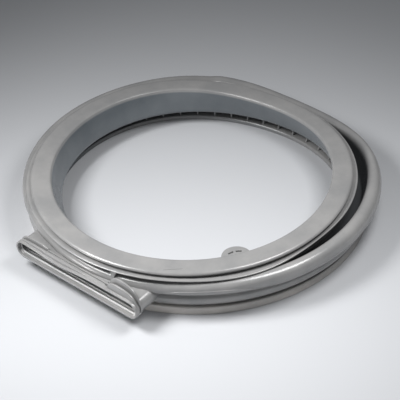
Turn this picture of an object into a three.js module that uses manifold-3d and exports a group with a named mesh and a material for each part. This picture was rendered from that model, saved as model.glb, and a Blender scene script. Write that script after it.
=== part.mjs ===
// Door seal of a washer dryer: one rubber moulding, lying on its tub ring with the door side up.
// Millimetres, +Z towards the door, and the drying air duct points along -Y.
import * as THREE from 'three';
import { mergeVertices } from 'three/addons/utils/BufferGeometryUtils.js';
import Module from 'manifold-3d';

const wasm = await Module();
wasm.setup();

// Door side
const height = 50;
const doorRadius = 150;
const faceWidth = 20.8;
const lipReach = 25.5;
const lipZ = height - 5;
const lipEdge = 1.7;
const lipSlope = 3;
const lipWave = 3;
const lipWaveAngle = -18;
const throatEndRadius = 146;
const throatEndShift = 9.5;
const throatEndOval = 1.8;
const throatEndAngle = 40.9;
const throatEndZ = 22.3;
const channelDrop = 4.2;
const wall = 2.7;

// Folds between the door side and the tub side
const foldRadius = 189.8;
const foldShift = 13.2;
const foldShiftAngle = 80;
const foldTube = 6.3;
const foldTubeGain = 2.7;
const foldZ = 35.7;
const foldDrop = 6.5;
const foldLift = 4.3;
const foldSink = 3.5;
const foldNarrowing = 3;
const creaseDepth = 2.5;
const padRise = 1.8;
const padStart = 64;
const padEnd = 124;

// Tub side
const tubRadius = 181;
const tubShift = 9.3;
const tubShiftAngle = 81;
const tubRingWidth = 26;
const tubRingThickness = 5;
const rollReach = 3;
const rollLowZ = 13.4;
const clampDepth = 5;
const clampLowZ = 8;

// Flat that the ring was squeezed to while it was stored
const flatAngle = 99.6;
const flatSpread = 35.5;
const flatDepth = 13;
const foldFlatAngle = 89.5;
const foldFlatSpread = 27.5;
const foldFlatDepth = 20;
const ovalDepth = 1.65;
const ovalAngle = 111.5;

// Ribs that stand on the tub ring
const ribCount = 50;
const ribPhase = 5.6;
const ribHeight = 9;
const ribThickness = 1.6;

// Air duct
const ductLength = 163;
const ductHeight = 20;
const ductX = 5.4;
const ductZ = height - 26;
const mouthY = -186.5;
const mouthLip = 3;
const flangeThickness = 2;
const flangePitch = 4.2;
const neckInset = 1.6;
const ductWall = 2.3;
const sealRib = 2.3;
const sealRibThickness = 1.4;
const sealRibDepth = 4;
const sealRibPitch = 3.6;
const mouthSag = 3.6;
const sagX = -25;
const sagSpread = 32;
const upperLipThinning = 0.8;
const earStart = 42.5;
const earEnd = 79;
const frontEars = { right: 8.8, left: 1 };
const backEars = { right: 13.5, left: 3.5 };

// Small features
const gussetX = 44;
const gussetWidth = 7.5;
const lugAngle = 326.3;
const lugRadius = 15;
const lugThickness = 3.4;

const steps = 88;
const degrees = Math.PI / 180;

function solid(geometry) {
  const bare = geometry.index ? geometry : mergeVertices(geometry);
  bare.deleteAttribute('normal');
  bare.deleteAttribute('uv');
  const merged = mergeVertices(bare, 1e-4);
  return new wasm.Manifold(new wasm.Mesh({
    numProp: 3,
    vertProperties: new Float32Array(merged.attributes.position.array),
    triVerts: new Uint32Array(merged.index.array),
  }));
}

function geometryOf(body) {
  const mesh = body.getMesh();
  const geometry = new THREE.BufferGeometry();
  geometry.setAttribute('position', new THREE.BufferAttribute(mesh.vertProperties, 3));
  geometry.setIndex(new THREE.BufferAttribute(mesh.triVerts, 1));
  geometry.computeVertexNormals();
  return geometry;
}

// A closed section, given clockwise, carried once round the seal.
function hoop(section) {
  const places = [];
  const faces = [];
  const count = section(0).length;
  for (let i = 0; i < steps; i += 1) {
    const angle = (360 * i) / steps;
    for (const [radius, z] of section(angle)) {
      places.push(radius * Math.cos(angle * degrees), radius * Math.sin(angle * degrees), z);
    }
    for (let j = 0; j < count; j += 1) {
      const next = (i + 1) % steps;
      const over = (j + 1) % count;
      const a = i * count + j;
      const b = next * count + j;
      const c = next * count + over;
      const d = i * count + over;
      faces.push(a, c, b, a, d, c);
    }
  }
  const geometry = new THREE.BufferGeometry();
  geometry.setAttribute('position', new THREE.Float32BufferAttribute(places, 3));
  geometry.setIndex(faces);
  return solid(geometry);
}

const towards = (angle, centre) => Math.cos((angle - centre) * degrees);

function dip(angle, centre, spread, depth) {
  const away = ((angle - centre + 540) % 360) - 180;
  return depth * Math.exp(-((away / spread) ** 2));
}

// The second lip leans out on one side of this place and in on the other.
function ripple(angle) {
  const away = ((angle - lipWaveAngle + 540) % 360) - 180;
  return dip(angle, lipWaveAngle, 30, lipWave) * Math.sin(5 * away * degrees);
}

function radii(angle) {
  const share = (1 + towards(angle, foldShiftAngle)) / 2;
  const rise = (angle - padStart) / 24;
  const fall = (padEnd - angle) / 4;
  const pad = padRise * Math.max(0, Math.min(1, rise, fall));
  const oval = ovalDepth * Math.cos(2 * (angle - ovalAngle) * degrees);
  const flat = dip(angle, flatAngle, flatSpread, flatDepth);
  const foldFlat = dip(angle, foldFlatAngle, foldFlatSpread, foldFlatDepth);
  const lean = towards(angle, throatEndAngle);
  const door = doorRadius - flat + oval;
  const throat = throatEndRadius + throatEndShift * lean + throatEndOval * (2 * lean ** 2 - 1) - flat / 2;
  const fold = foldRadius + foldShift * towards(angle, foldShiftAngle) - foldFlat;
  const tube = foldTube + foldTubeGain * share;
  const wide = tube - dip(angle, 54, 17, foldNarrowing);
  const lift = dip(angle, 6, 40, foldLift);
  const z = foldZ - foldDrop * share + pad + lift - dip(angle, -75, 22, foldSink);
  const tub = tubRadius + tubShift * towards(angle, tubShiftAngle) - 0.7 * flat;
  const room = (fold - 2 * tube - throat - wall - 8) / 12;
  const crease = Math.min(tub + 0.6 - dip(angle, -60, 22, creaseDepth), fold - 0.4 * wide);
  const inner = fold - 0.9 * tube - 1.1 * wide + wall;
  return {
    door,
    throat,
    fold,
    tube,
    wide,
    low: tube + lift,
    z,
    waist: z - tube - lift - 0.6,
    tub,
    lip: door + lipReach - ripple(angle),
    slope: dip(angle, 0, 80, lipSlope),
    crease: Math.max(crease, inner + wall + 1.2),
    bottom: throatEndZ - 1 - channelDrop * Math.max(0, Math.min(1, room)),
  };
}

// Part of an oval, given by its half width and its half heights above and below the centre.
function arc(centre, z, half, above, below, from, to, count) {
  return Array.from({ length: count + 1 }, (_, i) => {
    const turn = (from + ((to - from) * i) / count) * degrees;
    const rise = Math.sin(turn);
    return [centre + half * Math.cos(turn), z + (rise > 0 ? above : below) * rise];
  });
}

// The whole wall as one closed strip: over the door face, down into the channel,
// over the fold, round the tub ring and back up the inside of the throat.
function sealSection(angle) {
  const { door, throat, fold, tub, tube, wide, low, z, waist, lip, slope, crease, bottom } = radii(angle);
  const crown = fold - wide;
  const channel = fold - 2 * tube;
  const rollZ = (waist + rollLowZ) / 2;
  const throatTop = door - 1.3 + 0.28 * (throat - door + 1.3) + wall;
  return [
    [door - 1.3, height - 3.2],
    [door - 0.8, height - 0.8],
    [door + 1, height],
    [door + faceWidth - 4, height],
    [door + faceWidth - 1.3, height - 0.6],
    [door + faceWidth, height - 2.1],
    [door + faceWidth - 0.8, height - 3.7],
    [door + faceWidth - 4, lipZ - slope],
    [lip - 0.9, lipZ],
    [lip, lipZ - lipEdge / 2],
    [lip - 0.8, lipZ - lipEdge],
    [door + faceWidth - 4, lipZ - slope - 2.2],
    [throatTop + 2.8, lipZ - 2.8],
    [throatTop, lipZ - 5],
    [throat + wall + 0.3, throatEndZ + 1.5],
    [throat + wall + 2.2, throatEndZ - 1],
    [channel - 2.5, bottom],
    ...arc(crown, z, wide, tube, low, 180, -60, 6),
    [crease, waist],
    [tub + rollReach, rollZ + 3],
    [tub + rollReach, rollZ - 3],
    [tub - 0.4, rollLowZ - 0.6],
    [tub - clampDepth, rollLowZ - 1.2],
    [tub - clampDepth, clampLowZ + 0.4],
    [tub - 1, clampLowZ],
    [tub, clampLowZ - 1],
    [tub, 0],
    [tub - tubRingWidth, 0],
    [tub - tubRingWidth, tubRingThickness - 1],
    [tub - tubRingWidth + 1, tubRingThickness],
    [tub - clampDepth - wall - 2, tubRingThickness],
    [tub - clampDepth - wall, clampLowZ + 0.4],
    [tub - clampDepth - wall, rollLowZ],
    [tub + rollReach - wall, rollZ - 2.6],
    [tub + rollReach - wall, rollZ + 2.6],
    [crease - wall, waist],
    ...arc(crown, z, wide - wall, tube - wall, low - wall, -50, 180, 5),
    [channel + wall, bottom - 1],
    [channel - 0.5, bottom - wall],
    [throat + 3, throatEndZ - 1 - wall],
    [throat, throatEndZ],
  ];
}

// Everything inside the middle of the outer wall, which the duct must not enter.
function coreSection(angle) {
  const { fold, tub, tube, wide, low, z, waist, crease } = radii(angle);
  const half = wall / 2;
  const rollZ = (waist + rollLowZ) / 2;
  return [
    [doorRadius / 2, height],
    [fold - wide, height],
    ...arc(fold - wide, z, wide - half, tube - half, low - half, 90, -60, 4),
    [crease - half, waist],
    [tub + rollReach - half, rollZ + 2.8],
    [tub + rollReach - half, rollZ - 2.8],
    [tub - clampDepth - half, rollLowZ - 0.6],
    [tub - clampDepth - half, 0],
    [doorRadius / 2, 0],
  ];
}

// The channel wall and the throat, which the air passage leaves whole.
function keepSection(angle) {
  const { fold, wide } = radii(angle);
  const edge = fold - wide - 1.6;
  return [[doorRadius / 2, height], [edge, height], [edge, 0], [doorRadius / 2, 0]];
}

// The mouth's upper lip hangs down a little in the middle.
const sag = (x) => -mouthSag * Math.exp(-(((x - sagX) / sagSpread) ** 2));
const thinLip = (x) => sag(x) + upperLipThinning;

// An ear climbs steeply from the middle and runs out over the duct's round end.
function ear(x, rises) {
  const along = (Math.abs(x) - earStart) / (earEnd - earStart);
  if (along < 0) {
    return 0;
  }
  const lean = along < 0.3 ? (0.3 - along) / 0.42 : (along - 0.3) / 0.7;
  return (x < 0 ? rises.left : rises.right) * Math.sqrt(Math.max(0, 1 - lean ** 2));
}

// Rounded-end outline of the duct, with its upper side lifted or sunk by a rule.
function ductOutline(inset, lift, tops) {
  const rise = ductHeight / 2 - inset;
  const reach = ductLength / 2 - ductHeight / 2;
  const ends = 8;
  const points = [];
  for (let i = 0; i <= ends; i += 1) {
    const turn = -Math.PI / 2 + (Math.PI * i) / ends;
    const x = reach + rise * Math.cos(turn);
    points.push(new THREE.Vector2(x, rise * Math.sin(turn) + Math.max(0, Math.sin(turn)) * lift(x)));
  }
  for (const x of tops) {
    points.push(new THREE.Vector2(x, rise + lift(x)));
  }
  for (let i = 0; i <= ends; i += 1) {
    const turn = Math.PI / 2 + (Math.PI * i) / ends;
    const x = -reach + rise * Math.cos(turn);
    points.push(new THREE.Vector2(x, rise * Math.sin(turn) + Math.max(0, Math.sin(turn)) * lift(x)));
  }
  return new THREE.Shape(points);
}

// A plate or prism of the duct from one distance in front of the centre to another.
function ductPrism(shape, from, to) {
  const geometry = new THREE.ExtrudeGeometry(shape, { depth: to - from, bevelEnabled: false });
  geometry.translate(0, 0, from);
  geometry.rotateX(Math.PI / 2);
  geometry.translate(ductX, 0, ductZ);
  return solid(geometry);
}

const plainTops = [];
const sagTops = [50, 32, 18, 6, -4, -14, -25, -36, -46, -56, -66];
const earSide = [67, 62, 57, 51, 47, 43.6, 42.6, 42.4];
const earTops = [...earSide, ...earSide.map((x) => -x).reverse()];
const level = () => 0;

const front = -mouthY;
const frontFlange = front - mouthLip - flangeThickness;
const backFlange = frontFlange - flangePitch;
const neck = ductPrism(ductOutline(neckInset, level, plainTops), 120, front - mouthLip);
const mouth = ductPrism(ductOutline(0, sag, sagTops), frontFlange + 1, front);
const plates = [frontFlange, backFlange].map((at, i) => {
  const lift = (x) => ear(x, i === 0 ? frontEars : backEars);
  return ductPrism(ductOutline(0, lift, earTops), at, at + flangeThickness);
});
const duct = plates.reduce((all, plate) => all.add(plate), neck.add(mouth)).subtract(hoop(coreSection));

// The air passage, narrowed twice by the sealing ribs inside the mouth.
const ribFaces = [0, 1, 2].map((i) => front - sealRibDepth - i * sealRibPitch);
let passage = ductPrism(ductOutline(ductWall + sealRib, thinLip, sagTops), ribFaces[2] - 5, front + 1);
ribFaces.forEach((end, i) => {
  const start = i === 0 ? front + 1 : ribFaces[i - 1] - sealRibThickness;
  passage = passage.add(ductPrism(ductOutline(ductWall, thinLip, sagTops), end, start));
});
const inner = ductPrism(ductOutline(neckInset + ductWall, level, plainTops), 120, ribFaces[2] + 0.5);
passage = passage.add(inner).subtract(hoop(keepSection));

// Ribs across the hollow between the throat and the tub ring.
function rib(angle) {
  const { tub } = radii(angle);
  const length = tubRingWidth - clampDepth - wall - 3;
  const shape = new THREE.Shape([
    new THREE.Vector2(0, 0),
    new THREE.Vector2(length, 0),
    new THREE.Vector2(length, ribHeight + 1),
    new THREE.Vector2(2, ribHeight + 1),
  ]);
  const geometry = new THREE.ExtrudeGeometry(shape, { depth: ribThickness, bevelEnabled: false });
  geometry.rotateX(Math.PI / 2);
  geometry.translate(tub - tubRingWidth + 2.5, ribThickness / 2, tubRingThickness - 1);
  geometry.rotateZ(angle * degrees);
  return solid(geometry);
}

// A three-sided web that ties the door lip to the duct.
function gusset() {
  const top = lipZ - 1.5;
  const foot = ductZ + ductHeight / 2 - neckInset - 1;
  const lip = doorRadius + lipReach;
  const depth = 5;
  const shape = new THREE.Shape([
    new THREE.Vector2(-gussetWidth / 2, top),
    new THREE.Vector2(0.5 - gussetWidth / 2, foot),
    new THREE.Vector2(2 - gussetWidth / 2, foot),
    new THREE.Vector2(gussetWidth / 2, top),
  ]);
  const geometry = new THREE.ExtrudeGeometry(shape, { depth, bevelEnabled: false });
  geometry.rotateX(Math.PI / 2);
  geometry.translate(gussetX, -Math.sqrt(lip ** 2 - gussetX ** 2) + depth - 1, 0);
  return solid(geometry);
}

// Half-round lug at the door side with a curved slot in its upper face.
function lug() {
  const { door } = radii(lugAngle);
  const disc = new THREE.CylinderGeometry(lugRadius, lugRadius, lugThickness, 36);
  disc.rotateX(Math.PI / 2);
  disc.translate(door + 2.5, 0, height - 1 - lugThickness / 2);
  const slots = [-1, 1].map((side) => {
    const slot = new THREE.BoxGeometry(2, 6, 4);
    slot.translate(0, side * 4.2, height - 1);
    slot.rotateZ(side * -0.28);
    slot.translate(door - 5.2, 0, 0);
    return solid(slot);
  });
  const body = slots.reduce((all, slot) => all.subtract(slot), solid(disc));
  return body.rotate([0, 0, lugAngle]);
}

let seal = hoop(sealSection).add(duct).add(gusset()).subtract(passage).add(lug());
for (let i = 0; i < ribCount; i += 1) {
  seal = seal.add(rib(ribPhase + (360 * i) / ribCount));
}

const rubber = new THREE.MeshStandardMaterial({ color: 0x8d9092, roughness: 0.5, metalness: 0 });
const mesh = new THREE.Mesh(geometryOf(seal), rubber);
mesh.name = 'door_seal';
mesh.geometry.computeBoundingBox();
const middle = mesh.geometry.boundingBox.getCenter(new THREE.Vector3());
mesh.geometry.translate(-middle.x, -middle.y, 0);

const part = new THREE.Group();
part.name = 'washing_machine_door_seal';
part.add(mesh);

export default part;
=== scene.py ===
# %% [markdown]
# # Washing machine door seal
# This seal closes the gap between a washer dryer's round door opening and its tub.
# It is one piece of grey rubber, moulded in a steel mould with loose cores.
# Here it lies on its tub side, so the side that meets the door faces up.
# The engineering model is loaded first, because everything has to fit inside its box.

# %% Load the frame and measure it
import math
import bpy
from mathutils import Matrix, Vector


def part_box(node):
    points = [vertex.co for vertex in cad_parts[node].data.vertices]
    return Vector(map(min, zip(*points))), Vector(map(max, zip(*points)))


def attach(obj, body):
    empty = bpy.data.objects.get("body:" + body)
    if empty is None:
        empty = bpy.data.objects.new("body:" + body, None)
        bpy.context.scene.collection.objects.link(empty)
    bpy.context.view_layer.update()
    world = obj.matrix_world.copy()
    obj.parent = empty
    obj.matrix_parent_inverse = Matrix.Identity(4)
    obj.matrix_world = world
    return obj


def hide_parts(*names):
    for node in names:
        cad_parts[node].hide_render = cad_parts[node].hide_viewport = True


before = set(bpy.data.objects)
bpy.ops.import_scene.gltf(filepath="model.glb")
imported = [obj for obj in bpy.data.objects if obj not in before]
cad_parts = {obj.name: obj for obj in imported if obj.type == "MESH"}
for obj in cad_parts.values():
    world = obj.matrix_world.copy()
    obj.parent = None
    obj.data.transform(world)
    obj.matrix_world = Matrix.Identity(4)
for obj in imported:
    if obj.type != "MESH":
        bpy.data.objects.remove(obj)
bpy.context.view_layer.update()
low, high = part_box("door_seal")
MM = 0.001
print("frame box in mm:", [round((b - a) / MM, 1) for a, b in zip(low, high)])

# %% [markdown]
# ## How the ring runs
# A seal that has been folded and shipped is never quite round.
# The door side sits off centre from the tub side, and one stretch is squeezed flat.
# So each edge of the rubber gets its own radius at every angle: a circle, a sideways shift and soft dents.
# A way is the angle that a shift or an oval points at, and the duct points at -90 degrees.
# A dent is the angle of its middle, its spread and its depth.
# A shelf is its start, its rise, its end, its fall and its height.
# Lengths are in millimetres here and turn into metres when a mesh is made.

# %% Sizes of the ring
HEIGHT = 50.0
WALL = 2.7

DOOR_RADIUS = 150.0
DOOR_OVAL = 1.65
DOOR_OVAL_WAY = 111.5
DOOR_SQUEEZE = (99.6, 35.5, 13)

THROAT_RADIUS = 146.0
THROAT_SHIFT = 9.5
THROAT_OVAL = 1.8
THROAT_WAY = 40.9

FOLD_RADIUS = 189.8
FOLD_SHIFT = 13.2
FOLD_WAY = 80
FOLD_SQUEEZE = (89.5, 27.5, 20)
FOLD_Z = 35.7
FOLD_DROP = 6.5
FOLD_LIFT = (6, 40, 4.3)
FOLD_DIP = (-75, 22, 3.5)
FOLD_SHELF = (64, 24, 124, 4, 1.8)
TUBE = 6.3
TUBE_GROWTH = 2.7
TUBE_PINCH = (54, 17, 3)

TUB_RADIUS = 181.0
TUB_SHIFT = 9.3
TUB_WAY = 81
TUB_SQUEEZE = 0.7
CREASE_DENT = (-60, 22, 2.5)

LIP_REACH = 25.5
LIP_DROOP = (0, 80, 3)
RIPPLE = (-18, 30, 3)
RIPPLE_WAVES = 5

CHANNEL_Z = 21.3
CHANNEL_DROP = 4.2
CHANNEL_NARROW = 8
CHANNEL_WIDENS = 12
GROOVE_TOP = 13.4
print("door opening", 2 * DOOR_RADIUS, "mm across, tub ring", 2 * TUB_RADIUS, "mm across")

# %% [markdown]
# ## One set of radii for every angle
# A few small helpers turn the sizes above into smooth changes round the ring.
# The fold is a soft tube that is thick where it stands wide and thin where it is narrow.
# Where it is thick it has also sunk a little.

# %% Radius of each edge at an angle
def away_from(angle, centre):
    """The angle counted from the centre, between -180 and 180 degrees."""
    return (angle - centre + 540) % 360 - 180


def turn(angle, way):
    """One at the way and minus one on the opposite side."""
    return math.cos(math.radians(angle - way))


def dent(angle, centre, spread, depth):
    return depth * math.exp(-(away_from(angle, centre) / spread) ** 2)


def clamped(value):
    return max(0.0, min(1.0, value))


def shelf(angle, start, rise, end, fall, height):
    """A flat top between two angles, with a straight slope inside each end."""
    return height * clamped(min((angle - start) / rise, (end - angle) / fall))


def ripple(angle):
    """The second lip leans out on one side of this place and in on the other."""
    away = away_from(angle, RIPPLE[0])
    return dent(angle, *RIPPLE) * math.sin(math.radians(RIPPLE_WAVES * away))


def radii(angle):
    """Radii and heights of the rubber's edges at an angle."""
    share = (1 + turn(angle, FOLD_WAY)) / 2
    squeeze = dent(angle, *DOOR_SQUEEZE)
    lean = turn(angle, THROAT_WAY)
    door = DOOR_RADIUS - squeeze + DOOR_OVAL * math.cos(math.radians(2 * (angle - DOOR_OVAL_WAY)))
    throat = THROAT_RADIUS + THROAT_SHIFT * lean + THROAT_OVAL * (2 * lean ** 2 - 1) - squeeze / 2
    fold = FOLD_RADIUS + FOLD_SHIFT * turn(angle, FOLD_WAY) - dent(angle, *FOLD_SQUEEZE)
    tub = TUB_RADIUS + TUB_SHIFT * turn(angle, TUB_WAY) - TUB_SQUEEZE * squeeze
    tube = TUBE + TUBE_GROWTH * share
    wide = tube - dent(angle, *TUBE_PINCH)
    lift = dent(angle, *FOLD_LIFT)
    z = FOLD_Z - FOLD_DROP * share + shelf(angle, *FOLD_SHELF) + lift - dent(angle, *FOLD_DIP)
    waist = z - tube - lift - 0.6
    crease = min(tub + 0.6 - dent(angle, *CREASE_DENT), fold - 0.4 * wide)
    room = fold - 2 * tube - throat - WALL
    return {
        "door": door,
        "throat": throat,
        "fold": fold,
        "tub": tub,
        "tube": tube,
        "wide": wide,
        "low": tube + lift,
        "fold_z": z,
        "waist": waist,
        "roll": (waist + GROOVE_TOP) / 2,
        "lip": door + LIP_REACH - ripple(angle),
        "slope": dent(angle, *LIP_DROOP),
        "crease": max(crease, fold - 0.9 * tube - 1.1 * wide + 2 * WALL + 1.2),
        "bottom": CHANNEL_Z - CHANNEL_DROP * clamped((room - CHANNEL_NARROW) / CHANNEL_WIDENS),
    }


widest = max(range(360), key=lambda a: radii(a)["fold"] - radii(a)["door"])
print("fold stands widest of the door side at", widest, "degrees")

# %% [markdown]
# ## The rubber wall in section
# Cut anywhere, the seal shows one long strip of rubber of nearly even thickness.
# It starts as the flat face that the door glass presses on, with a thick bead at its outer edge.
# Below the bead is the groove for the cabinet rim, and then a second, thinner lip.
# From there the strip drops into a deep channel, climbs over a big soft fold and ends in the tub ring.
# A moulded edge is never sharp, so every corner carries a small rounding, which is the third number.
# On the near side a thin raised line runs along the fold, where the two mould halves met.

# %% The section as corners with roundings
FACE = 20.8
LIP_Z = HEIGHT - 5
THROAT_Z = 22.3
THROAT_SLANT = 0.28
TUB_RING = 26.0
CLAMP = 5.0
CLAMP_FLOOR = 8.4
ROLL_OUT = 3.0
BEAD_FLUSH = (108, 16, 1)
LINE_TURNED = 6
LINE_DIPS = ((-22, 11, 50), (-60, 4, 25))
LINE_SINK = 25
LINE_SINK_FROM = -25
LINE_SINK_OVER = 40
LINE_STANDS = (-66, 4, 34, 8, 0.4)


def fold_arc(e, grow, start, end, count):
    """Part of the fold's oval, grown outward. Its lower half can be deeper than its upper half."""
    points = []
    for i in range(count + 1):
        t = math.radians(start + (end - start) * i / count)
        tall = e["tube"] if math.sin(t) > 0 else e["low"]
        out = e["fold"] - e["wide"] + (e["wide"] + grow) * math.cos(t)
        points.append((out, e["fold_z"] + (tall + grow) * math.sin(t), 0))
    return points


def parting_line(angle):
    """Where the thin line left by the mould's joint runs on the fold, and how far it stands out."""
    signed = away_from(angle, 0)
    turned = LINE_TURNED - sum(dent(signed, *dip) for dip in LINE_DIPS)
    turned -= LINE_SINK * clamped((signed - LINE_SINK_FROM) / LINE_SINK_OVER)
    return turned, shelf(signed, *LINE_STANDS)


def door_side(e, flush):
    """From the door face's inner edge round its bead, the cabinet groove and the second lip."""
    inner, outer = e["door"] - 1.3, e["door"] + FACE
    root = outer - 4
    lip, slope = e["lip"], e["slope"]
    throat_top = inner + THROAT_SLANT * (e["throat"] - inner) + WALL
    return [
        (inner, HEIGHT - 3.2, 0.8),
        (inner + 0.5, HEIGHT - 0.8, 0.9),
        (inner + 2.3, HEIGHT, 1.0),
        (root, HEIGHT, 1.6),
        (outer - 1.5, HEIGHT - 0.5 + 0.4 * flush, 2.0),
        (outer, HEIGHT - 2.2 + 1.9 * flush, 1.3),
        (outer - 0.8, HEIGHT - 3.7, 0.9),
        (root, LIP_Z - slope, 0.7),
        (lip - 0.9, LIP_Z, 0.6),
        (lip, LIP_Z - 0.85, 0.6),
        (lip - 0.8, LIP_Z - 1.7, 0.6),
        (root, LIP_Z - slope - 2.2, 2.5),
        (throat_top + 2.8, LIP_Z - 2.8, 2.0),
        (throat_top, LIP_Z - 5, 2.0),
    ]


def channel_and_fold(e, turned, stands):
    """Down into the channel and over the fold, with the raised line of the mould's joint."""
    return [
        (e["throat"] + WALL + 0.3, THROAT_Z + 1.5, 1.8),
        (e["throat"] + WALL + 2.2, THROAT_Z - 1, 1.8),
        (e["fold"] - 2 * e["tube"] - 2.5, e["bottom"], 2.5),
        *fold_arc(e, 0, 180, turned + 3, 18),
        *fold_arc(e, stands, turned + 0.8, turned - 0.8, 1),
        *fold_arc(e, 0, turned - 3, -60, 6),
        (e["crease"], e["waist"], 1.0),
    ]


def tub_side(e):
    """Past the small roll and the clamp groove, and round the foot of the tub ring."""
    tub, roll = e["tub"], e["roll"]
    foot = tub - TUB_RING
    back = tub - CLAMP - WALL
    return [
        (tub + ROLL_OUT, roll + 3, 2.5),
        (tub + ROLL_OUT, roll - 3, 2.5),
        (tub - 0.4, 12.8, 0.6),
        (tub - CLAMP, 12.2, 0.6),
        (tub - CLAMP, CLAMP_FLOOR, 0.6),
        (tub - 1.9, 8, 0.8),
        (tub - 1.1, 7, 0.9),
        (tub, 1.5, 1.2),
        (tub, 0, 0.7),
        (foot, 0, 0.7),
        (foot, 4, 0.6),
        (foot + 1, 5, 0.6),
        (back - 2, 5, 1.5),
        (back, CLAMP_FLOOR, 1.5),
        (back, GROOVE_TOP, 1.5),
    ]


def hollow_side(e):
    """Back up inside the roll and the fold, and under the channel to the throat."""
    throat, channel = e["throat"], e["fold"] - 2 * e["tube"]
    return [
        (e["tub"] + ROLL_OUT - WALL, e["roll"] - 2.6, 1.5),
        (e["tub"] + ROLL_OUT - WALL, e["roll"] + 2.6, 1.5),
        (e["crease"] - WALL, e["waist"], 1.0),
        *fold_arc(e, -WALL, -50, 180, 16),
        (channel + WALL, e["bottom"] - 1, 1.5),
        (channel - 0.5, e["bottom"] - WALL, 1.5),
        (throat + 3, THROAT_Z - 1 - WALL, 1.5),
        (throat, THROAT_Z, 1.5),
    ]


def wall_section(angle):
    e = radii(angle)
    outside = door_side(e, dent(angle, *BEAD_FLUSH)) + channel_and_fold(e, *parting_line(angle))
    return outside + tub_side(e) + hollow_side(e)


print("corners in one section:", len(wall_section(0)))

# %% [markdown]
# ## Rounded corners
# Each corner is cut back a little on both sides, and a short curve joins the two cuts.
# Where two corners lie close together, a cut takes less than half of the edge between them.

# %% Soften every corner
CURVE_POINTS = 4
MOST_OF_EDGE = 0.45


def softened(corners):
    """The closed outline with each corner that has a rounding turned into a short curve."""
    points = []
    for i, (x, y, soft) in enumerate(corners):
        if not soft:
            points.append((x, y))
            continue
        ends = []
        for nx, ny, _ in (corners[i - 1], corners[(i + 1) % len(corners)]):
            far = math.hypot(nx - x, ny - y) or 1e-6
            share = min(soft, MOST_OF_EDGE * far) / far
            ends.append((x + (nx - x) * share, y + (ny - y) * share))
        curve = (ends[0], (x, y), ends[1])
        for k in range(CURVE_POINTS):
            t = k / (CURVE_POINTS - 1)
            pulls = ((1 - t) ** 2, 2 * t * (1 - t), t * t)
            points.append(tuple(sum(w * p[axis] for w, p in zip(pulls, curve)) for axis in (0, 1)))
    return points


print("points in one section:", len(softened(wall_section(0))))

# %% [markdown]
# ## The wall all the way round
# The mould shapes the strip all round at once, so the mesh does the same.
# The section is drawn at many angles and each point is joined to the same point of the next section.
# That gives a closed skin with an even grid, which shades smoothly along the folds.
# The angles are counted round the ring's own centre, which lies a little off the middle of the box.

# %% Carry a section round the seal
MIDDLE = (2.2663, -0.7745)
CENTRE = Vector((-MIDDLE[0], -MIDDLE[1], 0))
STEPS = 320


def skin(name, rings, endless=False):
    """A closed body through rings of points: either endless, or with a flat cap at each end."""
    total, count = len(rings), len(rings[0])
    faces = []
    for i in range(total if endless else total - 1):
        here, there = i * count, (i + 1) % total * count
        for j in range(count):
            k = (j + 1) % count
            faces.append((here + j, here + k, there + k, there + j))
    if not endless:
        faces.append(tuple(range(count))[::-1])
        faces.append(tuple(range((total - 1) * count, total * count)))
    mesh = bpy.data.meshes.new(name)
    mesh.from_pydata([(x * MM, y * MM, z * MM) for ring in rings for x, y, z in ring], [], faces)
    mesh.validate()
    piece = bpy.data.objects.new(name, mesh)
    bpy.context.scene.collection.objects.link(piece)
    return piece


def hoop(name, section):
    rings = []
    for i in range(STEPS):
        angle = 360 * i / STEPS
        c, s = math.cos(math.radians(angle)), math.sin(math.radians(angle))
        rings.append([(r * c - MIDDLE[0], r * s - MIDDLE[1], z) for r, z in section(angle)])
    return skin(name, rings, endless=True)


seal = hoop("door_seal_rubber", lambda angle: softened(wall_section(angle)))
print("wall:", len(seal.data.vertices), "points")

# %% [markdown]
# ## The drying air duct
# Warm air from the dryer blows in through a flat, wide mouth at one side.
# Two flanges stand round it, and each rises to an ear at both ends.
# The air channel is clamped between them.
# The thin upper lip of the mouth has sagged a little, as unsupported rubber does.
# All of this is one outline, a bar with round ends, drawn at many depths with a different inset each time.

# %% Outline of the duct and its mesh
DUCT_L = 163.0
DUCT_H = 20.0
DUCT_X = 5.4
DUCT_Z = HEIGHT - 26
DUCT_WALL = 2.3
DUCT_START = 120
NECK = 1.6
STRAIGHT = DUCT_L / 2 - DUCT_H / 2
BEND_STEPS = 16

FRONT = 186.5
FRONT_ROUNDING = 0.6
FLANGE = 2.0
FLANGE_ROUNDING = 0.5
FRONT_FLANGE = FRONT - 5
BACK_FLANGE = FRONT_FLANGE - 4.2

EAR_START = 42.5
EAR_END = 79.0
EAR_TOP = 0.3
EAR_RISE = 0.34
BACK_EARS = (13.5, 3.5)
FRONT_EARS = (8.8, 1)
SAG = 3.6
SAG_X = -25
SAG_SPREAD = 32
LIP_THINNER = 0.8


def level(x):
    """No lift of the duct's upper edge. Like every lift it takes the place x along the duct, which it does
    not use.
    """
    return 0.0


def sag(x):
    return -SAG * math.exp(-((x - SAG_X) / SAG_SPREAD) ** 2)


def thin_lip(x):
    return sag(x) + LIP_THINNER


def ear(right, left):
    """The lift of a flange with an ear over each round end."""
    def lift(x):
        along = (abs(x) - EAR_START) / (EAR_END - EAR_START)
        if along < 0:
            return 0.0
        lean = (EAR_TOP - along) / EAR_RISE if along < EAR_TOP else (along - EAR_TOP) / (1 - EAR_TOP)
        return (left if x < 0 else right) * math.sqrt(max(0.0, 1 - lean ** 2))
    return lift


def duct_outline(inset, lift):
    rise = DUCT_H / 2 - inset
    bend = [math.radians(-90 + 180 * i / BEND_STEPS) for i in range(BEND_STEPS + 1)]
    right_end = [(STRAIGHT + rise * math.cos(t), rise * math.sin(t)) for t in bend]
    top = [(STRAIGHT - i, rise) for i in range(1, int(2 * STRAIGHT))]
    left_end = [(-x, -z) for x, z in right_end]
    return [(x, z + max(0.0, z) / rise * lift(x)) for x, z in right_end + top + left_end]


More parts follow.
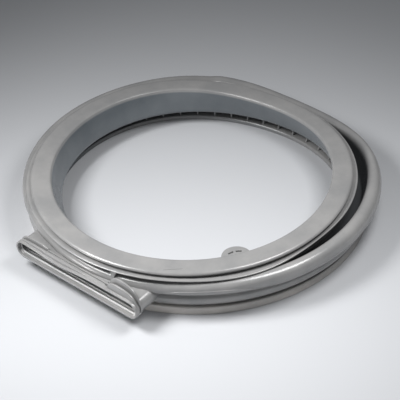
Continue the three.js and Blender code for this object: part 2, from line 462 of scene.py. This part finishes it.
def duct_loft(name, stations):
    """A closed body through outlines, each given as distance in front of the centre, inset and lift."""
    rings = []
    for at, inset, lift in stations:
        outline = duct_outline(inset, lift)
        rings.append([(x + DUCT_X - MIDDLE[0], -at - MIDDLE[1], z + DUCT_Z) for x, z in outline])
    return skin(name, rings)


def rounded_rims(depth, rounding):
    """Depth and inset of the outlines that make a plate with both rims rounded."""
    first = [(0, rounding), (0.3 * rounding, 0.3 * rounding), (rounding, 0)]
    return first + [(depth - at, inset) for at, inset in reversed(first)]


def flange(at, lift):
    plate = [(at + deep, inset, lift) for deep, inset in rounded_rims(FLANGE, FLANGE_ROUNDING)]
    return [(at, NECK, level), *plate, (at + FLANGE, NECK, level)]


duct = duct_loft("duct", [
    (DUCT_START, NECK, level),
    *flange(BACK_FLANGE, ear(*BACK_EARS)),
    *flange(FRONT_FLANGE, ear(*FRONT_EARS))[:-1],
    (FRONT_FLANGE + FLANGE, 0, sag),
    (FRONT - FRONT_ROUNDING, 0, sag),
    (FRONT - 0.3 * FRONT_ROUNDING, 0.3 * FRONT_ROUNDING, sag),
    (FRONT, FRONT_ROUNDING, sag),
])
print("duct:", len(duct.data.vertices), "points")

# %% [markdown]
# ## The way through the duct
# The air passage is cut out of the duct and out of the outer wall behind it, and it ends in the hollow.
# Just inside the mouth it leaves two narrow ribs all round, which press on whatever is pushed in.
# The channel wall on the far side of the hollow stays whole, or water would run out.
# First the duct and the passage are each trimmed, and the duct is joined to the wall.

# %% Trim the duct and the passage
SEAL_RIB = 2.3
BACK_RIB = FRONT - 7.6
FRONT_RIB = FRONT - 4
MOUTH_END = FRONT - 11.2
INNERMOST = 75


def combine(piece, tool, operation):
    """Change a piece by a boolean step with a tool, which is used up."""
    change = piece.modifiers.new(operation.lower(), "BOOLEAN")
    change.operation = operation
    change.solver = "MANIFOLD"
    change.object = tool
    solid = bpy.data.meshes.new_from_object(piece.evaluated_get(bpy.context.evaluated_depsgraph_get()))
    piece.modifiers.clear()
    old, piece.data = piece.data, solid
    bpy.data.meshes.remove(old)
    bpy.data.objects.remove(tool)
    print(operation.lower(), "->", len(solid.polygons), "faces")


def core_section(angle):
    """All that lies inside of the middle of the outer wall's thickness."""
    e = radii(angle)
    half = WALL / 2
    return [
        (INNERMOST, HEIGHT),
        (e["fold"] - e["wide"], HEIGHT),
        *((r, z) for r, z, _ in fold_arc(e, -half, 90, -60, 12)),
        (e["crease"] - half, e["waist"]),
        (e["tub"] + ROLL_OUT - half, e["roll"] + 2.8),
        (e["tub"] + ROLL_OUT - half, e["roll"] - 2.8),
        (e["tub"] - CLAMP - half, 12.8),
        (e["tub"] - CLAMP - half, 0),
        (INNERMOST, 0),
    ]


def keep_section(angle):
    """What the passage mustn't cut: the channel's wall and all inside of it."""
    e = radii(angle)
    edge = e["fold"] - e["wide"] - 1.6
    return [(INNERMOST, HEIGHT), (edge, HEIGHT), (edge, 0), (INNERMOST, 0)]


def seal_rib(at):
    """A narrow rib with bevelled edges, whose front side is this far from the centre."""
    root, crest = DUCT_WALL, DUCT_WALL + SEAL_RIB
    side = [(-1.4, root), (-1.4, crest - 0.4), (-1.1, crest), (-0.3, crest), (0, crest - 0.4), (0, root)]
    return [(at + step, inset, thin_lip) for step, inset in side]


passage = duct_loft("passage", [
    (DUCT_START, NECK + DUCT_WALL, level),
    (MOUTH_END, NECK + DUCT_WALL, level),
    (MOUTH_END, DUCT_WALL, thin_lip),
    *seal_rib(BACK_RIB),
    *seal_rib(FRONT_RIB),
    (FRONT - FRONT_ROUNDING, DUCT_WALL, thin_lip),
    (FRONT - 0.3 * FRONT_ROUNDING, DUCT_WALL - 0.3 * FRONT_ROUNDING, thin_lip),
    (FRONT, DUCT_WALL - FRONT_ROUNDING, thin_lip),
    (FRONT + 1, DUCT_WALL - FRONT_ROUNDING, thin_lip),
])
combine(duct, hoop("core", core_section), "DIFFERENCE")
combine(passage, hoop("keep", keep_section), "DIFFERENCE")
combine(seal, duct, "UNION")

# %% [markdown]
# ## The web
# A small web, narrow at its foot, ties the second lip to the duct.
# With it the mould can pull the lip free without tearing it.
# The passage is cut once the web has been joined, so no rubber is left in the air's way.

# %% Web from the second lip to the duct
WEB_X = 44
WEB_RADIUS = 175.5
WEB_DEPTH = 5
UP = (0, 0, 1)


def prism(name, outline, along, up, start, depth):
    """A flat outline, drawn counter-clockwise in two directions and pushed out square to both."""
    along, up, start = Vector(along), Vector(up), Vector(start)
    across = along.cross(up)
    points = softened(outline)
    middle = [sum(p[i] for p in points) / len(points) for i in (0, 1)]
    rings = []
    for at, inset in rounded_rims(depth, min(0.4, depth / 4)):
        ring = []
        for x, y in points:
            dx, dy = middle[0] - x, middle[1] - y
            pull = inset / (math.hypot(dx, dy) or 1)
            ring.append(start + along * (x + dx * pull) + up * (y + dy * pull) + across * at)
        rings.append(ring)
    return skin(name, rings)


web_top = LIP_Z - 1.5
web_foot = DUCT_Z + DUCT_H / 2 - NECK - 1
web_outline = [(3.75, web_top, 0.4), (-3.75, web_top, 0.4), (-3.25, web_foot, 0.4), (-1.75, web_foot, 0.4)]
web_y = 4 - math.sqrt(WEB_RADIUS ** 2 - WEB_X ** 2)
web_start = CENTRE + Vector((WEB_X, web_y, 0))
combine(seal, prism("web", web_outline, (1, 0, 0), UP, web_start, WEB_DEPTH), "UNION")
combine(seal, passage, "DIFFERENCE")

# %% [markdown]
# ## The lug and a crease
# At the door side a half-round lug with two short slots shows which way up the seal goes.
# The slots lie end to end, at a slight angle to each other.
# Not far from the lug the door face was folded once, and a short, shallow crease has stayed.

# %% Lug with two slots, and the crease
LUG_ANGLE = 326.3
LUG_RADIUS = 15
LUG_OUT = 2.5
LUG_THICK = 3.4
SLOT_IN = 5.2
SLOT_APART = 4.2
SLOT_TILT = 0.28
SLOT_CORNERS = ((-1, -3), (1, -3), (1, 3), (-1, 3))
CREASE_ENDS = ((-59.5, 16.2), (-53.0, 13.0))
CREASE_NOTCH = [(0.9, 0.2, 0), (-0.9, 0.2, 0), (0, -1, 0)]

lug_spin = Matrix.Rotation(math.radians(LUG_ANGLE), 4, "Z")
lug_edge = radii(LUG_ANGLE)["door"]


def plate_at_lug(name, outline, out, top, depth):
    """An outline seen from above, at the lug's angle, reaching this deep below its top."""
    along = lug_spin @ Vector((1, 0, 0))
    sideways = lug_spin @ Vector((0, -1, 0))
    return prism(name, outline, along, sideways, CENTRE + lug_spin @ Vector((out, 0, top)), depth)


def over_face(angle, out):
    """A point just above the door face, this far out from its inner edge."""
    radius = radii(angle)["door"] + out
    turned = math.radians(angle)
    return CENTRE + Vector((radius * math.cos(turned), radius * math.sin(turned), HEIGHT + 0.5))


rounds = [math.radians(t) for t in range(0, 360, 6)]
disc = [(LUG_RADIUS * math.cos(t), LUG_RADIUS * math.sin(t), 0) for t in rounds]
lug = plate_at_lug("lug", disc, lug_edge + LUG_OUT, HEIGHT - 1, LUG_THICK)
for side in (-1, 1):
    c, s = math.cos(side * SLOT_TILT), math.sin(side * SLOT_TILT)
    placed = [(x, y - side * SLOT_APART) for x, y in SLOT_CORNERS]
    slot = [(x * c - y * s, x * s + y * c, 0.6) for x, y in placed]
    combine(lug, plate_at_lug("slot", slot, lug_edge - SLOT_IN, HEIGHT + 1, 4), "DIFFERENCE")
combine(seal, lug, "UNION")

crease_start, crease_end = (over_face(*end) for end in CREASE_ENDS)
way = crease_end - crease_start
square = Vector((-way.y, way.x, 0)).normalized()
combine(seal, prism("crease", CREASE_NOTCH, square, UP, crease_start, way.length), "DIFFERENCE")

# %% [markdown]
# ## Ribs in the hollow
# Short ribs stand on the tub ring inside the hollow, evenly spaced all round, and stiffen the wall.
# They can be seen only through the gap at the far side, so one simple shape is turned into each place.

# %% Ribs
RIB_COUNT = 50
RIB_FIRST = 5.6
RIB_IN = 2.5
RIB_THICK = 1.6
RIB_TALL = 10
RIB_FOOT = 4
rib_length = TUB_RING - CLAMP - WALL - 3
rib_outline = [(0, 0, 0.3), (rib_length, 0, 0.3), (rib_length, RIB_TALL, 0.6), (2, RIB_TALL, 1.2)]
ribs = []
for i in range(RIB_COUNT):
    angle = RIB_FIRST + 360 / RIB_COUNT * i
    spin = Matrix.Rotation(math.radians(angle), 4, "Z")
    inner = radii(angle)["tub"] - TUB_RING + RIB_IN
    start = CENTRE + spin @ Vector((inner, RIB_THICK / 2, RIB_FOOT))
    ribs.append(prism(f"rib_{i:02d}", rib_outline, spin @ Vector((1, 0, 0)), UP, start, RIB_THICK))
print("ribs:", len(ribs))

# %% [markdown]
# ## Join and smooth
# The ribs go into the same mesh as the wall, because the whole seal is one moulding.
# Only edges that turn sharply keep a crease. The rest is shaded smooth, as rubber is.

# %% One mesh
SHARP = 38
bpy.context.view_layer.update()
with bpy.context.temp_override(active_object=seal, selected_editable_objects=[seal, *ribs]):
    bpy.ops.object.join()
seal.data.shade_smooth()
seal.data.set_sharp_from_angle(angle=math.radians(SHARP))
triangles = sum(len(p.vertices) - 2 for p in seal.data.polygons)
print("seal in mm:", [round(d / MM, 2) for d in seal.dimensions], "triangles:", triangles)

# %% [markdown]
# ## Fit it in the frame
# A mesh with finer steps reaches a hair further out than a coarse one.
# It is shrunk by that hair, so that it stays inside the box of the engineering model.

# %% Keep inside the box
JUST_INSIDE = 0.99995
reach = [max(abs(v.co[i]) for v in seal.data.vertices) for i in (0, 1)]
room = [min(-low[i], high[i]) for i in (0, 1)]
shrink = min(1.0, *(JUST_INSIDE * a / b for a, b in zip(room, reach)))
seal.data.transform(Matrix.Diagonal((shrink, shrink, 1, 1)))
print("shrunk to", round(shrink, 5))
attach(seal, "root")
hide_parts("door_seal")

# %% [markdown]
# ## Satin grey rubber
# The rubber is a middle grey with a satin skin.
# Its material is made of a few kinds of node, and each kind gets a short function.
# A noise gives soft patches, a ramp picks a range out of a value, and a tint darkens or brightens a place.

# %% Nodes for the rubber
rubber = bpy.data.materials.new("grey_rubber")
rubber.use_nodes = True
nodes, links = rubber.node_tree.nodes, rubber.node_tree.links
shader = nodes["Principled BSDF"]
place = nodes.new("ShaderNodeTexCoord").outputs["Object"]


def noise(scale, detail, roughness=0.5):
    node = nodes.new("ShaderNodeTexNoise")
    node.inputs["Scale"].default_value = scale
    node.inputs["Detail"].default_value = detail
    node.inputs["Roughness"].default_value = roughness
    links.new(place, node.inputs["Vector"])
    return node.outputs["Fac"]


def ramp(source, from_low, from_high, to_low, to_high):
    node = nodes.new("ShaderNodeMapRange")
    keys = ("From Min", "From Max", "To Min", "To Max")
    for key, value in zip(keys, (from_low, from_high, to_low, to_high)):
        node.inputs[key].default_value = value
    links.new(source, node.inputs["Value"])
    return node.outputs["Result"]


def above(source, start, end):
    """Nothing up to the start, and one from the end on."""
    return ramp(source, start, end, 0, 1)


def below(source, start, end):
    """One up to the start, and nothing from the end on."""
    return ramp(source, start, end, 1, 0)


def distance_from(x, y):
    """How far a point of the rubber is from an upright axis."""
    flat = nodes.new("ShaderNodeVectorMath")
    flat.operation = "MULTIPLY_ADD"
    flat.inputs[1].default_value = (1, 1, 0)
    flat.inputs[2].default_value = (-x, -y, 0)
    links.new(place, flat.inputs[0])
    far = nodes.new("ShaderNodeVectorMath")
    far.operation = "LENGTH"
    links.new(flat.outputs["Vector"], far.inputs[0])
    return far.outputs["Value"]


def times(first, second):
    node = nodes.new("ShaderNodeMath")
    node.operation = "MULTIPLY"
    links.new(first, node.inputs[0])
    links.new(second, node.inputs[1])
    return node.outputs["Value"]


def tinted(colour, share, tint):
    node = nodes.new("ShaderNodeMix")
    node.data_type = "RGBA"
    node.blend_type = "MULTIPLY"
    node.inputs["B"].default_value = tint
    links.new(share, node.inputs["Factor"])
    links.new(colour, node.inputs["A"])
    return node.outputs["Result"]


print("material:", rubber.name)

# %% [markdown]
# ## Bloom, painted shade and painted light
# Rubber blooms: wax comes to its surface and leaves a faint pattern of soft, lighter patches.
# Painted shade darkens the throat, with a bluish cast of painted bounce light, and the deep channel, and
# painted light brightens the tub ring.
# The crests of the sealing ribs inside the duct's mouth carry a painted highlight.
# A noise is its scale, its detail and its roughness.
# Heights, depths and radii of the places are in metres here, as the material sees them.

# %% Colour by place
BLOOM_NOISE = (28, 6, 0.6)
BLOOM_RANGE = (0.35, 0.65)
GREY = (0.250, 0.250, 0.250, 1)
GREY_WITH_BLOOM = (0.304, 0.300, 0.296, 1)
DOOR_AXIS = (-0.00227, 0.00077)
FOLD_AXIS = (0.0, 0.0138)

UNDER_FACE = (0.0455, 0.0472)
WITHIN_THROAT = (0.151, 0.156)
# Painted shade, with a bluish cast of painted bounce light, for the throat's inner wall.
THROAT_PAINTED_SHADE = (0.44, 0.50, 0.55, 1)

CHANNEL_INNER = (0.150, 0.160)
CHANNEL_OUTER = (0.176, 0.181)
CHANNEL_LEVEL = (0.030, 0.041)
# Painted shade for the deep channel between the second lip and the fold.
CHANNEL_PAINTED_SHADE = (0.16, 0.17, 0.18, 1)

RING_INNER = (0.172, 0.176)
RING_LEVEL = (0.0085, 0.0095)
# Painted light that brightens the tub ring, with a slight warm tint.
RING_PAINTED_LIGHT = (1.9, 1.82, 1.74, 1)

CREST_FRONT = (-0.1828, -0.1826)
CREST_BACK = (-0.1758, -0.1756)
CREST_LOW = (0.0166, 0.0172)
CREST_HIGH = (0.0195, 0.0200)
# Painted highlight on the crests of the sealing ribs.
CREST_PAINTED_HIGHLIGHT = (2.4, 2.4, 2.4, 1)

bloom = nodes.new("ShaderNodeMix")
bloom.data_type = "RGBA"
bloom.inputs["A"].default_value = GREY
bloom.inputs["B"].default_value = GREY_WITH_BLOOM
links.new(above(noise(*BLOOM_NOISE), *BLOOM_RANGE), bloom.inputs["Factor"])

split = nodes.new("ShaderNodeSeparateXYZ")
links.new(place, split.inputs["Vector"])
height, depth = split.outputs["Z"], split.outputs["Y"]
from_door = distance_from(*DOOR_AXIS)
from_fold = distance_from(*FOLD_AXIS)

painted_throat_shade = times(below(height, *UNDER_FACE), below(from_door, *WITHIN_THROAT))
over_channel = times(above(from_fold, *CHANNEL_INNER), below(from_fold, *CHANNEL_OUTER))
painted_channel_shade = times(below(height, *CHANNEL_LEVEL), over_channel)
painted_ring_light = times(below(height, *RING_LEVEL), above(from_fold, *RING_INNER))
in_mouth = times(above(depth, *CREST_FRONT), below(depth, *CREST_BACK))
painted_crest_highlight = times(in_mouth, times(above(height, *CREST_LOW), below(height, *CREST_HIGH)))

# Painted shade, with a bluish cast of painted bounce light, on the throat.
colour = tinted(bloom.outputs["Result"], painted_throat_shade, THROAT_PAINTED_SHADE)
# Painted shade in the channel.
colour = tinted(colour, painted_channel_shade, CHANNEL_PAINTED_SHADE)
# Painted light on the tub ring.
colour = tinted(colour, painted_ring_light, RING_PAINTED_LIGHT)
# Painted highlight on the rib crests.
colour = tinted(colour, painted_crest_highlight, CREST_PAINTED_HIGHLIGHT)
links.new(colour, shader.inputs["Base Color"])
print("shades by place: throat, channel, tub ring and rib crests")

# %% [markdown]
# ## Sheen and grain
# The skin is a little rougher where it has been touched, so the sheen comes and goes in patches.
# A fine grain, less than a tenth of a millimetre deep, comes from the mould's blasted steel.

# %% Sheen and grain
IOR = 1.5
SHEEN = 0.8
TOUCH_NOISE = (90, 4)
TOUCH_RANGE = (0.3, 0.7)
ROUGHNESS = (0.20, 0.27)
GRAIN_NOISE = (1400, 3)
GRAIN_DEPTH = 0.00008
GRAIN_STRENGTH = 0.25

shader.inputs["IOR"].default_value = IOR
shader.inputs["Specular IOR Level"].default_value = SHEEN
links.new(ramp(noise(*TOUCH_NOISE), *TOUCH_RANGE, *ROUGHNESS), shader.inputs["Roughness"])
grain = nodes.new("ShaderNodeBump")
grain.inputs["Strength"].default_value = GRAIN_STRENGTH
grain.inputs["Distance"].default_value = GRAIN_DEPTH
links.new(noise(*GRAIN_NOISE), grain.inputs["Height"])
links.new(grain.outputs["Normal"], shader.inputs["Normal"])
seal.data.materials.clear()
seal.data.materials.append(rubber)
print("material:", rubber.name, "with", len(nodes), "nodes")

# %% [markdown]
# ## Floor
# A pale floor lies under the seal and bends up far behind it, as seen from the camera.

# %% Stage
AZIMUTH = -49.1
FLOOR_NEAR = 3.0
FLOOR_FAR = -2.0
FLOOR_SIDE = 6.0
FLOOR_BEND = 1.0
FLOOR_TOP = 4.0
PAPER = (0.55, 0.56, 0.58, 1)
PAPER_ROUGHNESS = 0.9

profile = [(FLOOR_NEAR, 0.0), (FLOOR_FAR, 0.0)]
for t in range(6, 91, 6):
    bent = math.radians(t)
    profile.append((FLOOR_FAR - FLOOR_BEND * math.sin(bent), FLOOR_BEND * (1 - math.cos(bent))))
profile.append((FLOOR_FAR - FLOOR_BEND, FLOOR_TOP))
heading = Matrix.Rotation(math.radians(AZIMUTH), 4, "Z")
sweep = [heading @ Vector((d, side * FLOOR_SIDE, z)) for d, z in profile for side in (-1, 1)]
quads = [(2 * i, 2 * i + 1, 2 * i + 3, 2 * i + 2) for i in range(len(profile) - 1)]
ground = bpy.data.meshes.new("floor")
ground.from_pydata(sweep, [], quads)
ground.shade_smooth()
floor = bpy.data.objects.new("floor", ground)
bpy.context.scene.collection.objects.link(floor)
paper = bpy.data.materials.new("paper")
paper.use_nodes = True
paper_shader = paper.node_tree.nodes["Principled BSDF"]
paper_shader.inputs["Base Color"].default_value = PAPER
paper_shader.inputs["Roughness"].default_value = PAPER_ROUGHNESS
ground.materials.append(paper)
print("floor:", len(quads), "strips")

# %% [markdown]
# ## Light
# Two square lamps hang over the near side, so the near folds are brighter than the far ones.
# A weak third one stands low in front of the duct and looks into its mouth.
# A weak, even sky fills the shadows without hiding them.

# %% Lamps and sky
SKY = (0.96, 0.98, 1, 1)
SKY_STRENGTH = 0.21


def softbox(name, spot, aim, watts, wide, spread):
    """A square lamp. Its spot and its aim are metres towards the camera, sideways and up."""
    lamp = bpy.data.lights.new(name, "AREA")
    lamp.shape = "RECTANGLE"
    lamp.size = wide
    lamp.size_y = wide
    lamp.spread = math.radians(spread)
    lamp.energy = watts
    box = bpy.data.objects.new(name, lamp)
    box.location = heading @ Vector(spot)
    box.rotation_euler = (heading @ Vector(aim) - box.location).to_track_quat("-Z", "Y").to_euler()
    bpy.context.scene.collection.objects.link(box)
    print(name, watts, "W at", [round(x, 2) for x in box.location])


softbox("softbox_right", spot=(0.15, 0.25, 0.55), aim=(0.2, 0, 0), watts=0.95, wide=0.25, spread=110)
softbox("softbox_left", spot=(0.15, -0.40, 0.55), aim=(0.2, 0, 0), watts=1.75, wide=0.25, spread=110)
softbox("softbox_low", spot=(0.27, -0.48, 0.06), aim=(0.14, -0.12, 0.02), watts=0.035, wide=0.10, spread=50)
world = bpy.data.worlds.new("sky")
bpy.context.scene.world = world
world.use_nodes = True
sky = world.node_tree.nodes["Background"]
sky.inputs["Color"].default_value = SKY
sky.inputs["Strength"].default_value = SKY_STRENGTH

# %% [markdown]
# ## Camera
# The camera looks down at the seal at about 38 degrees, from the side of the duct's right end.
# A long lens at 1.3 metres keeps the far rim nearly as large as the near one.

# %% Camera
ELEVATION = 38.3
CAMERA_ROLL = -2.0
DISTANCE = 1.3
TARGET = Vector((0.04213, -0.03949, 0.050))
LENS = 115.83
SENSOR = 36

flat_back = Vector((math.cos(math.radians(AZIMUTH)), math.sin(math.radians(AZIMUTH)), 0))
back = flat_back * math.cos(math.radians(ELEVATION)) + Vector((0, 0, math.sin(math.radians(ELEVATION))))
right = Vector((0, 0, 1)).cross(back).normalized()
upward = back.cross(right)
c, s = math.cos(math.radians(CAMERA_ROLL)), math.sin(math.radians(CAMERA_ROLL))
axes = (right * c + upward * s, upward * c - right * s, back)
lens = bpy.data.cameras.new("camera")
lens.lens = LENS
lens.sensor_width = SENSOR
camera = bpy.data.objects.new("camera", lens)
camera.matrix_world = Matrix.Translation(TARGET + back * DISTANCE) @ Matrix(axes).transposed().to_4x4()
bpy.context.scene.collection.objects.link(camera)
bpy.context.scene.camera = camera
bpy.context.scene.view_settings.view_transform = "Standard"
print("camera at", [round(x, 3) for x in camera.location])
